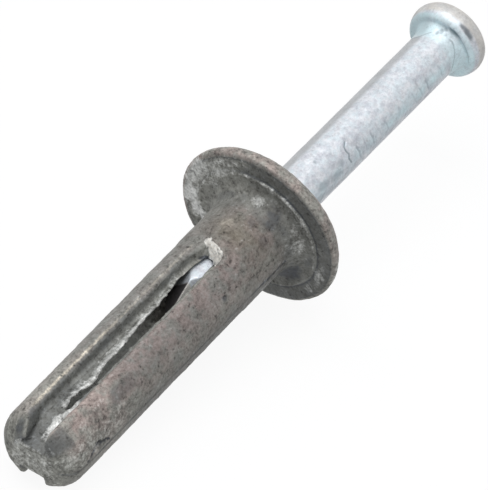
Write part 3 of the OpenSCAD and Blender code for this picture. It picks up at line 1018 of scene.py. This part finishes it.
def sleeve_masks(obj, s):
    """Where the casting is sooty or in painted shade, bare or given painted highlights and light,
    rubbed with a painted highlight, brown, ochre or scraped pale.
    """
    p = sleeve_places(obj, s)
    _, _, z, r, phi = p.at
    shank = (0.25 + 0.75 * hump(30.0, 33.0, phi)) * ease(-25.2, -23.8, z)
    shank *= (1 - p.hollow) * (1 - 0.9 * p.under) * (r < 4)
    warm = strongest(
        shank,
        (0.65 - 0.4 * ease(40, 90, phi)) * ease(5.95, 6.15, r) * ease(2.4, 1.6, z),
        0.5 * (z > 0.06) * (r > 2.1) * ease(120, 70, phi))
    ochre = hump(-3.4, 1.5, z) * hump(15.0, 42.0, phi) * (1 - p.hollow)
    ochre *= (0.85 + 0.4 * p.slow) * ease(4.6, 3.6, r)
    mask(obj, "soot_and_shade", sleeve_soot_and_shade(p, s))
    mask(obj, "fresh_and_painted_light", sleeve_fresh_and_painted_light(p, s))
    mask(obj, "warm", warm)
    mask(obj, "ochre", ochre)
    mask(obj, "rubbed", sleeve_rubbed_and_highlight(p))
    mask(obj, "cream", ease(0.3, 0.8, p.wedge + 0.2 * p.quick))


SLEEVE_TRIANGLES = 190000


def cast_sleeve():
    s = sizes(bpy.context.scene.anchor_sleeve)
    body = turn(trace("sleeve_casting", sleeve_section(s)), 128)
    groove = groove_cutter(s)
    far_slit = half_turn(slit_cutter(s, 31.0))
    far_groove = half_turn(copy_of(groove))
    for cutter in (far_groove, groove, bore_cutter(s), far_slit, slit_cutter(s, 3.0)):
        combine(body, cutter, "DIFFERENCE")
    apply_modifier(body, "REMESH", mode="VOXEL", voxel_size=s.grain, adaptivity=0.0)
    apply_modifier(body, "SMOOTH", factor=0.5, iterations=2)
    work_groove(body, s)
    work_skin(body, s)
    shove(body, 1.6, 1, 0.06)
    shove(body, 0.35, 2, 0.05)
    body.data.calc_loop_triangles()
    apply_modifier(body, "DECIMATE", ratio=SLEEVE_TRIANGLES / len(body.data.loop_triangles))
    sleeve_masks(body, s)
    return body


# ---------------------------------------------------------------- nail


def nail_section(s):
    """Outline of the nail from its blunt lower end up to the crown's centre."""
    r, z = s.nail_d / 2, s.nail_out
    side_mid = s.head_d / 2 - s.head_side_r
    points = [(0, z - s.nail_len), (r, z - s.nail_len), (r, s.straight)]
    r -= s.taper / 2
    # the shank swells as it nears the head
    for i in range(13):
        under = s.neck_swell_len * (1 - i / 12)
        points.append((r + s.neck_swell * math.exp(-3.2 * under / s.neck_swell_len), z - under))
    # the underside's edge is rolled over, then the side bulges and the crown closes it
    reach = s.head_d / 2 - s.under_r
    rolled = [math.radians(90 - 90 * i / 12) for i in range(13)]
    points += [(s.under_r + reach * math.cos(t), z + s.head_widest * (1 - math.sin(t)))
               for t in rolled]
    rounded = arc((side_mid, z + s.head_widest), s.head_side_r, 0, 90, 30)[1:]
    crown_mid = z + s.head_h - s.head_crown_r
    points += [p for p in rounded if math.hypot(p[0], p[1] - crown_mid) < s.head_crown_r]
    lean = math.degrees(math.acos(points[-1][0] / s.head_crown_r))
    points += arc((0, crown_mid), s.head_crown_r, lean, 90, 12)[1:]
    return points


def drive_nail():
    s = sizes(bpy.context.scene.anchor_nail)
    nail = turn(trace("plated_nail", nail_section(s)), 96)
    tip = s.nail_out - s.nail_len
    slope = s.nail_d / 2 * math.cos(math.radians(45)) / s.point_len
    for quarter in range(4):
        facing = s.point_turn + math.radians(45 + 90 * quarter)
        normal = Vector((math.cos(facing), math.sin(facing), -slope)).normalized()
        with editing(nail):
            bpy.ops.mesh.bisect(plane_co=(0, 0, tip), plane_no=normal, use_fill=True,
                                clear_outer=True)
    apply_modifier(nail, "REMESH", mode="VOXEL", voxel_size=s.grain, adaptivity=0.0)
    apply_modifier(nail, "SMOOTH", factor=0.5, iterations=2)
    work_nail(nail, s)
    shove(nail, 1.1, 1, 0.025)
    nail_masks(nail, s)
    lean_nail(nail, s)
    return nail


# Marks across the shank where the wire was gripped, on two sides: first height, pitch, angles of
# the sides, slant per degree and the strength of each mark
GRIP_START, GRIP_PITCH, GRIP_SIDES, GRIP_SLANT = 9.3, 0.8, (68.0, -112.0), 0.003
GRIP_STRENGTH = (1, 0.7, 0.9, 0.5, 0.7, 0.4, 0.55, 0.3, 0.6, 0.8, 0.9, 0.5, 0.6, 0.3)
# A jagged scratch across the shank, as height and angle from the groove
SCRATCH = [(8.75, 30), (8.4, 37), (8.3, 44), (8.36, 56), (8.24, 64), (8.3, 76)]
# Dents in the head: radius, height over the underside, angle, half length in degrees, depth and
# how much metal is bare in it
HEAD_DENTS = [(2.3, 0.05, 30, 20, 0.08, 0), (2.8, 0.5, 44, 17, 0.06, 0.75),
              (1.95, -0.3, 10, 6, 0.045, 0), (2.1, -0.1, 15, 6, 0.045, 0),
              (1.9, -0.5, 4, 4, 0.03, 0), (2.7, 1.25, -140, 14, 0.03, 0)]
DENT_HALF = 0.22  # half the width of those dents, in millimetres
MARKS_FROM = 3.0  # height from which the shank is marked, in millimetres
# Dirt on the shank: height, angle from the groove, half height, half width in degrees, amount
NAIL_DIRT = [(5.2, 66, 0.9, 14, 0.42), (6.6, 72, 0.8, 12, 0.45), (7.3, 54, 0.6, 10, 0.36),
             (4.6, 88, 0.9, 12, 0.4), (16.2, 58, 0.5, 7, 0.3), (17.4, 62, 0.5, 6, 0.3),
             (15.1, 76, 0.6, 8, 0.2), (8.9, 28, 0.25, 8, 0.3), (13.2, 70, 0.6, 6, 0.2),
             (18.6, 48, 0.5, 7, 0.24), (10.6, 12, 0.3, 7, 0.2), (3.2, 40, 0.4, 12, 0.25)]


def grip_marks(z, phi):
    """Strength of the marks across the shank, which lie on two opposite sides."""
    z = z + 0.02 * np.sin(phi / 3.0)
    found = np.zeros(z.shape)
    for side in GRIP_SIDES:
        off = (phi - side + 180) % 360 - 180
        side_window = ease(30, 14, np.abs(off))
        for k, strength in enumerate(GRIP_STRENGTH):
            height = GRIP_START + GRIP_PITCH * k + (GRIP_SLANT + 0.003 * math.sin(5 * k)) * off
            mark = stroke(z - height, 0.03, 0.16) * ease(0, 12, off + 22 + 7 * math.sin(3 * k))
            found = np.maximum(found, strength * side_window * mark)
    return found


def head_dents(co, s):
    """Distance from each dent as a share of its size, the dent's depth and its bare share."""
    r, phi = polar(co)
    h = co[:, 2] - s.nail_out
    for mid_r, mid_h, turn_at, half, depth, bare in HEAD_DENTS:
        across = ((r - mid_r) / DENT_HALF) ** 2 + ((h - mid_h) / DENT_HALF) ** 2
        yield np.sqrt(across + ((phi - turn_at) / half) ** 2), depth, bare


def scratch_distance(co, s):
    _, phi = polar(co)
    around = np.radians(phi) * s.nail_d / 2
    line = [(z, math.radians(p) * s.nail_d / 2) for z, p in SCRATCH]
    return line_distance(co[:, 2] + 0.05 * ripple(co, 0.3, 71.0), around, line)


def work_nail(obj, s):
    """Presses the grip marks, the scratch and the head's dents into the nail."""
    co = coordinates(obj)
    _, phi = polar(co)
    z = co[:, 2]
    on_shank = (z > MARKS_FROM) & (z < s.nail_out - 0.8)
    push = -0.045 * grip_marks(z, phi) * on_shank
    push -= 0.06 * ease(0.1, 0.02, scratch_distance(co, s)) * on_shank
    for away, depth, _ in head_dents(co, s):
        push -= depth * ease(1.0, 0.3, away)
    normals = np.empty(len(obj.data.vertices) * 3)
    obj.data.vertices.foreach_get("normal", normals)
    co += normals.reshape(-1, 3) * push[:, None]
    place_coordinates(obj, co)


def lean_nail(obj, s):
    """Lets the nail lean a little in its bore."""
    co = coordinates(obj)
    aside = math.tan(s.lean) * (co[:, 2] - s.lean_height)
    co[:, 0] += aside * math.cos(s.lean_toward)
    co[:, 1] += aside * math.sin(s.lean_toward)
    place_coordinates(obj, co)


def nail_dirt_and_shading(co, z, r, phi, h, on_point, shank, slow, quick, s):
    """Dirt in the marks, the scratch and the dents, round the neck and on the point, painted shade on
    the head's top side, and darkening under the head on its upper side.
    """
    marked = (z > MARKS_FROM) * shank
    scale = stroke(h + 0.35 + 0.8 * ease(35, 105, phi) + 0.05 * quick, 0.02, 0.1)
    scale *= window(26, 36, 100, 120, phi)
    turned_scale = stroke(h + 0.6 + 0.85 * ease(0, -36, phi), 0.02, 0.12)
    turned_scale *= ease(-2, -10, phi) * (phi > -80)
    edge = stroke(r - s.under_r - 0.02 * slow, 0.02, 0.1) * (h > -0.1) * (h < 0.1)
    pit = np.hypot(z - 5.87, (phi - 14) / RADIAN * 1.82)
    return strongest(
        on_point * (0.1 + 0.2 * quick),
        0.4 * grip_marks(z, phi) * marked,
        blots(z, phi, NAIL_DIRT, 0.35 * slow + 0.35 * quick) * (z > 2) * shank,
        # darker under the head on its upper side
        0.3 * window(-1.5, -0.9, 0.2, 0.5, h) * ease(-8, -30, phi),
        # painted shade on the head's top side, which faces away from the light
        0.32 * window(0.1, 0.4, 0.8, 1.3, h) * ease(-40, -58, phi),
        0.75 * ease(0.12, 0.03, scratch_distance(co, s)) * marked,
        0.5 * ease(0.22, 0.08, pit),
        0.55 * scale,
        0.55 * turned_scale,
        0.4 * edge * window(20, 40, 90, 110, phi))


def nail_masks(obj, s):
    """Where the plating is clouded, worn, tinted, dirty or dented, and where shade is painted along the
    top of the shank and head and on the point's upper faces.
    """
    co = coordinates(obj)
    r, phi = polar(co)
    z = co[:, 2]
    h = z - s.nail_out
    slow, quick = ripple(co, 0.8, 41.0), ripple(co, 0.25, 47.0)
    shank = ease(-0.2, -0.8, h)
    side = ease(0.3, 0.6, h - 0.25 * np.cos(np.radians(phi - 60)))
    on_point = ease(s.point_len - s.nail_len - 0.1, s.point_len - s.nail_len - 0.3, h)

    cloud = 0.6 * hump(84.0, 18.0, phi) * (0.65 + 0.35 * slow) * shank
    cloud -= 0.4 * hump(-28.0, 14.0, phi) * shank
    cloud += (0.16 - 0.24 * ease(10, 16, z)) * hump(35.0, 30.0, phi) * shank
    marks = 0.8 * grip_marks(z, phi) * (z > MARKS_FROM) * shank
    mask(obj, "rub", strongest(cloud, marks, 0.75 * ease(0.6, 0.9, h) * (0.7 + 0.3 * slow)))

    # painted shade: a grey band along the shank's top side, which faces away from the light; and worn
    # grey on the head's side
    worn = window(-115, -85, -28, -12, phi) * ease(0.1, -0.3, h) * (0.95 + 0.2 * slow)
    mask(obj, "worn", np.maximum(worn, 0.3 * side))
    neck = hump(-0.2, 0.5, h) * ease(60, 30, np.abs(phi - 5))
    mask(obj, "dull", np.maximum(side, neck))
    mask(obj, "tan", np.maximum(side * (0.7 + 0.3 * slow), 0.9 * on_point))

    teal = window(-1.6, -0.9, 0.15, 0.4, h) * (0.9 + 0.35 * slow)
    teal *= 1 - 0.5 * hump(22.0, 35.0, phi)
    low = hump(76.0, 15.0, phi) * shank * (0.6 + 0.6 * slow)
    mask(obj, "teal", np.maximum(teal, (0.6 + 0.4 * ease(11, 15, z)) * low))

    # painted shade: the point's upper faces, in the bore, are painted near black
    turned = (phi - math.degrees(s.point_turn) + 180) % 360 - 180
    upper = ease(2, -2, turned) * (turned > -91)
    dirt_and_shade = nail_dirt_and_shading(co, z, r, phi, h, on_point * (1 - upper), shank, slow, quick, s)
    bare = 0.97 * on_point * upper
    for away, depth, bare_share in head_dents(co, s):
        amount = (0.35 + 5.5 * depth) * ease(1.3, 0.3, away + 0.3 * quick)
        bare = np.maximum(bare, bare_share * amount)
        dirt_and_shade = np.maximum(dirt_and_shade, amount)
    mask(obj, "dent", bare)
    mask(obj, "soot_and_shade", dirt_and_shade)


# ---------------------------------------------------------------- operators


class ANCHOR_OT_sleeve(bpy.types.Operator):
    """Models the die-cast sleeve with its flange, grooves, slits and bore"""
    bl_idname = "anchor.sleeve"
    bl_label = "Sleeve"

    def execute(self, context):
        finish_piece(cast_sleeve(), "sleeve_body", "sleeve",
                     zinc_casting(context.scene.anchor_finish))
        return {"FINISHED"}


class ANCHOR_OT_nail(bpy.types.Operator):
    """Models the nail with its button head and four-sided point"""
    bl_idname = "anchor.nail"
    bl_label = "Nail"

    def execute(self, context):
        finish_piece(drive_nail(), "nail_body", "drive_nail",
                     zinc_plating(context.scene.anchor_finish))
        return {"FINISHED"}


class ANCHOR_OT_stage(bpy.types.Operator):
    """Sets the floor, the lights and the camera"""
    bl_idname = "anchor.stage"
    bl_label = "Stage"

    def execute(self, context):
        stage = context.scene.anchor_stage
        set_floor(stage)
        set_sky(context.scene, stage)
        for name, place, size, power in LAMPS:
            lamp(name, place, size, power)
        set_camera(context.scene, stage)
        return {"FINISHED"}


def seen_ray(g):
    """1 for rays of the camera, of gloss and of glass, which see a white surrounding."""
    path = g.node("LightPath").outputs
    either = g.math("MAXIMUM", path["Is Camera Ray"], path["Is Glossy Ray"])
    return g.math("MAXIMUM", either, path["Is Transmission Ray"])


def set_floor(stage):
    deselect()
    bpy.ops.mesh.primitive_plane_add(size=4, location=(0, 0, CAD_BOX[0].z - FLOOR_GAP))
    floor = bpy.context.object
    floor.name = "floor"
    made = bpy.data.materials.new("floor_paper")
    made.use_nodes = True
    g = Graph(made.node_tree)
    g.nodes.remove(g.nodes["Principled BSDF"])
    paper = g.node("BsdfDiffuse", {"Color": stage.floor})
    shade = g.node("BsdfDiffuse", {"Color": stage.floor_shade})
    glow = g.node("Emission", {"Strength": stage.floor_glow})
    seen = g.node("AddShader", {0: shade.outputs[0], 1: glow.outputs[0]})
    pick = g.node("MixShader", {0: seen_ray(g), 1: paper.outputs[0], 2: seen.outputs[0]})
    g.feed(g.nodes["Material Output"].inputs["Surface"], pick.outputs[0])
    floor.data.materials.append(made)


def set_sky(scene, stage):
    scene.world = scene.world or bpy.data.worlds.new("studio")
    scene.world.use_nodes = True
    g = Graph(scene.world.node_tree)
    g.nodes.clear()
    soft = g.node("Background", {"Color": stage.sky, "Strength": stage.sky_strength})
    white = g.node("Background", {"Color": (1, 1, 1), "Strength": 1.0})
    pick = g.node("MixShader", {0: seen_ray(g), 1: soft.outputs[0], 2: white.outputs[0]})
    g.node("OutputWorld", {"Surface": pick.outputs[0]})


def lamp(name, place, size, power):
    deselect()
    bpy.ops.object.light_add(type="AREA", location=place)
    light = bpy.context.object
    light.name = name
    light.data.size = size
    light.data.energy = power
    light.rotation_euler = Vector(place).to_track_quat("Z", "Y").to_euler()


def set_camera(scene, stage):
    a, e = stage.azimuth, stage.elevation
    back = Vector((math.sin(a) * math.cos(e), -math.cos(a) * math.cos(e), math.sin(e)))
    right = Vector((math.cos(a), math.sin(a), 0))
    level = Matrix((right, back.cross(right), back)).transposed()
    deselect()
    bpy.ops.object.camera_add(location=Vector(stage.aim) + back * stage.distance)
    camera = bpy.context.object
    camera.rotation_euler = (level @ Matrix.Rotation(stage.roll, 3, "Z")).to_euler()
    camera.data.lens = stage.lens
    camera.data.clip_end = 10
    scene.camera = camera
    scene.view_settings.view_transform = "Standard"


class ANCHOR_PT_panel(bpy.types.Panel):
    bl_label = "Hammer drive anchor"
    bl_idname = "ANCHOR_PT_panel"
    bl_space_type = "VIEW_3D"
    bl_region_type = "UI"
    bl_category = "Anchor"

    def draw(self, context):
        layout = self.layout
        for label, group in GROUPS.items():
            box = layout.box()
            box.label(text=label)
            settings = getattr(context.scene, group[0])
            for key in group[1].__annotations__:
                box.prop(settings, key)
        for operator in OPERATORS:
            layout.operator(operator.bl_idname)


GROUPS = {
    "Sleeve": ("anchor_sleeve", AnchorSleeveSizes),
    "Nail": ("anchor_nail", AnchorNailSizes),
    "Finish": ("anchor_finish", AnchorFinish),
    "Stage": ("anchor_stage", AnchorStage),
}
OPERATORS = (ANCHOR_OT_sleeve, ANCHOR_OT_nail, ANCHOR_OT_stage)


def register():
    for name, kind in GROUPS.values():
        bpy.utils.register_class(kind)
        setattr(bpy.types.Scene, name, PointerProperty(type=kind))
    for kind in (*OPERATORS, ANCHOR_PT_panel):
        bpy.utils.register_class(kind)


def unregister():
    for kind in (ANCHOR_PT_panel, *reversed(OPERATORS)):
        bpy.utils.unregister_class(kind)
    for name, kind in reversed(list(GROUPS.values())):
        delattr(bpy.types.Scene, name)
        bpy.utils.unregister_class(kind)


def main():
    register()
    bpy.ops.anchor.sleeve()
    bpy.ops.anchor.nail()
    bpy.ops.anchor.stage()


if __name__ == "__main__":
    main()
